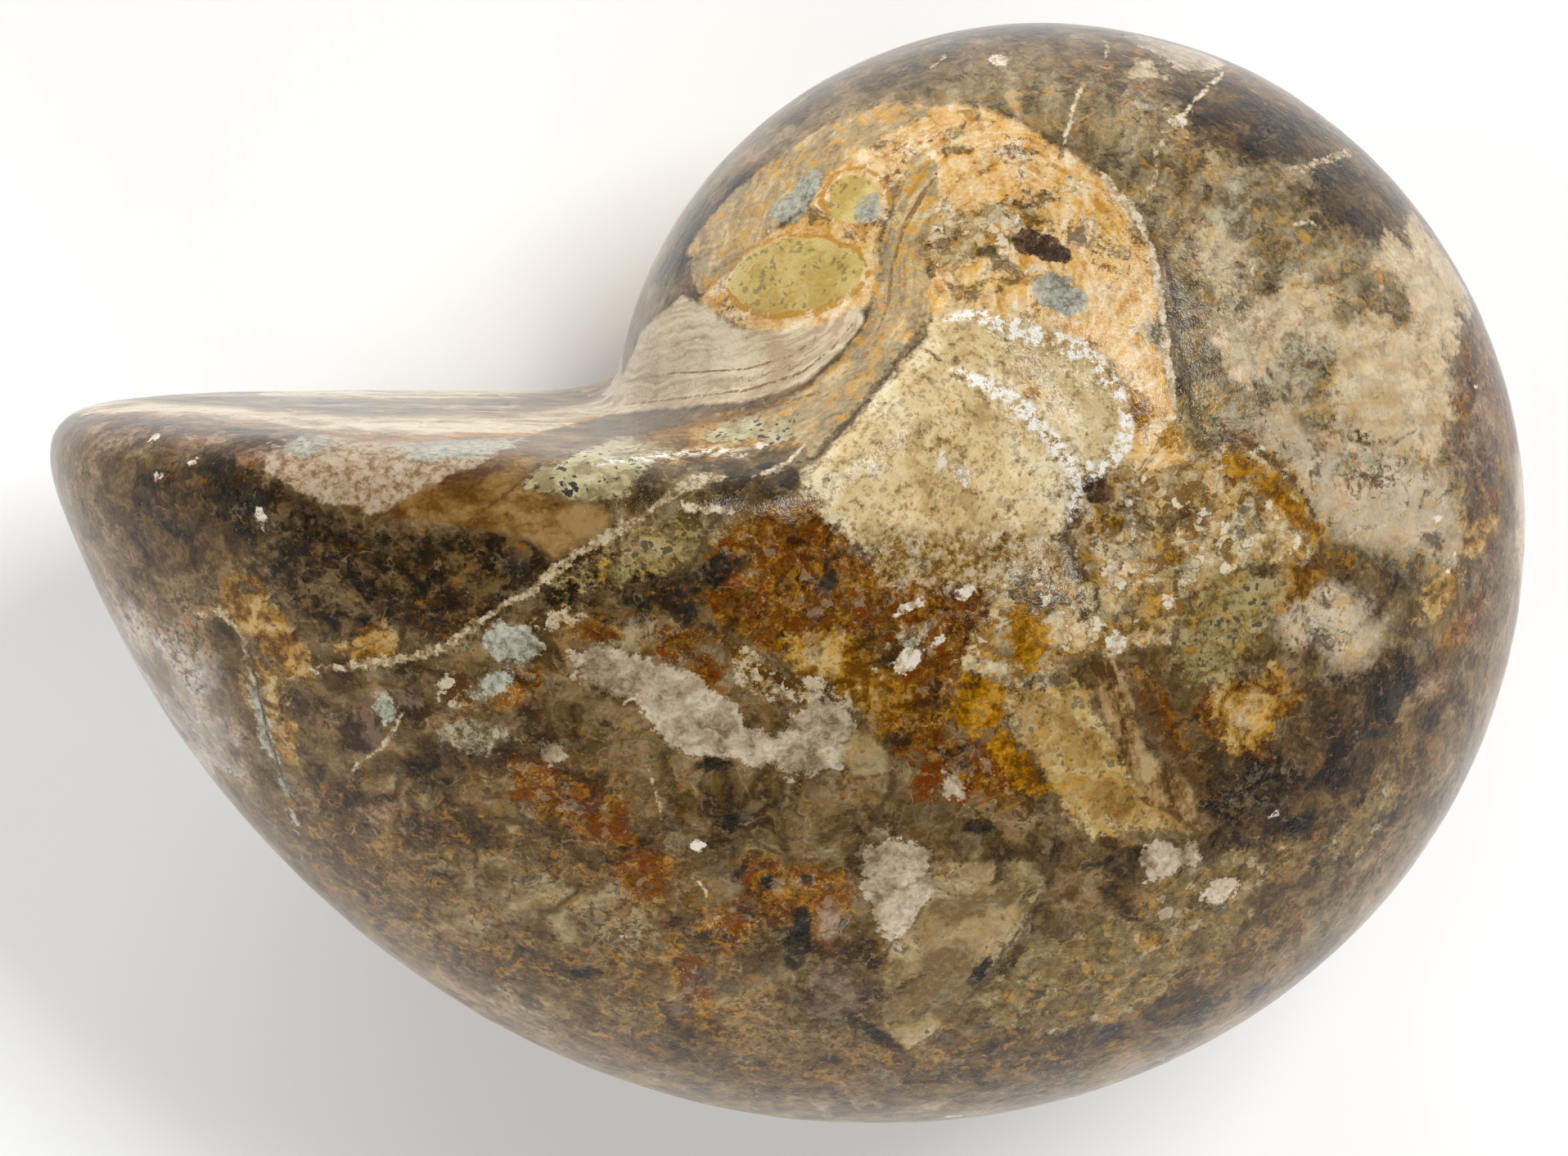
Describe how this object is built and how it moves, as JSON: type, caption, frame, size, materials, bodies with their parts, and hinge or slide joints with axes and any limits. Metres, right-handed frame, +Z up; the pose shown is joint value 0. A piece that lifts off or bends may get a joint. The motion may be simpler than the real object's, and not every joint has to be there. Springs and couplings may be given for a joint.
{
  "type": "fossil nautilus",
  "caption": "Polished fossil nautilus shell in mottled stone, coiled, with a closed aperture face, lying on one flank.",
  "frame": {"origin": "on the surface it lies on, below the centre of the part's box", "axes": "+X from the aperture's outer lip towards the back of the coil, +Y the way the aperture face looks, +Z up from the flank it lies on"},
  "size_m": [0.1098, 0.0818, 0.0639],
  "materials": {
    "polished_stone": "hand polished, glossy with fine pits; mottled brown, ochre, cream, khaki and black"
  },
  "bodies": {
    "root": {"fossil_nautilus": "polished_stone"}
  },
  "joints": []
}
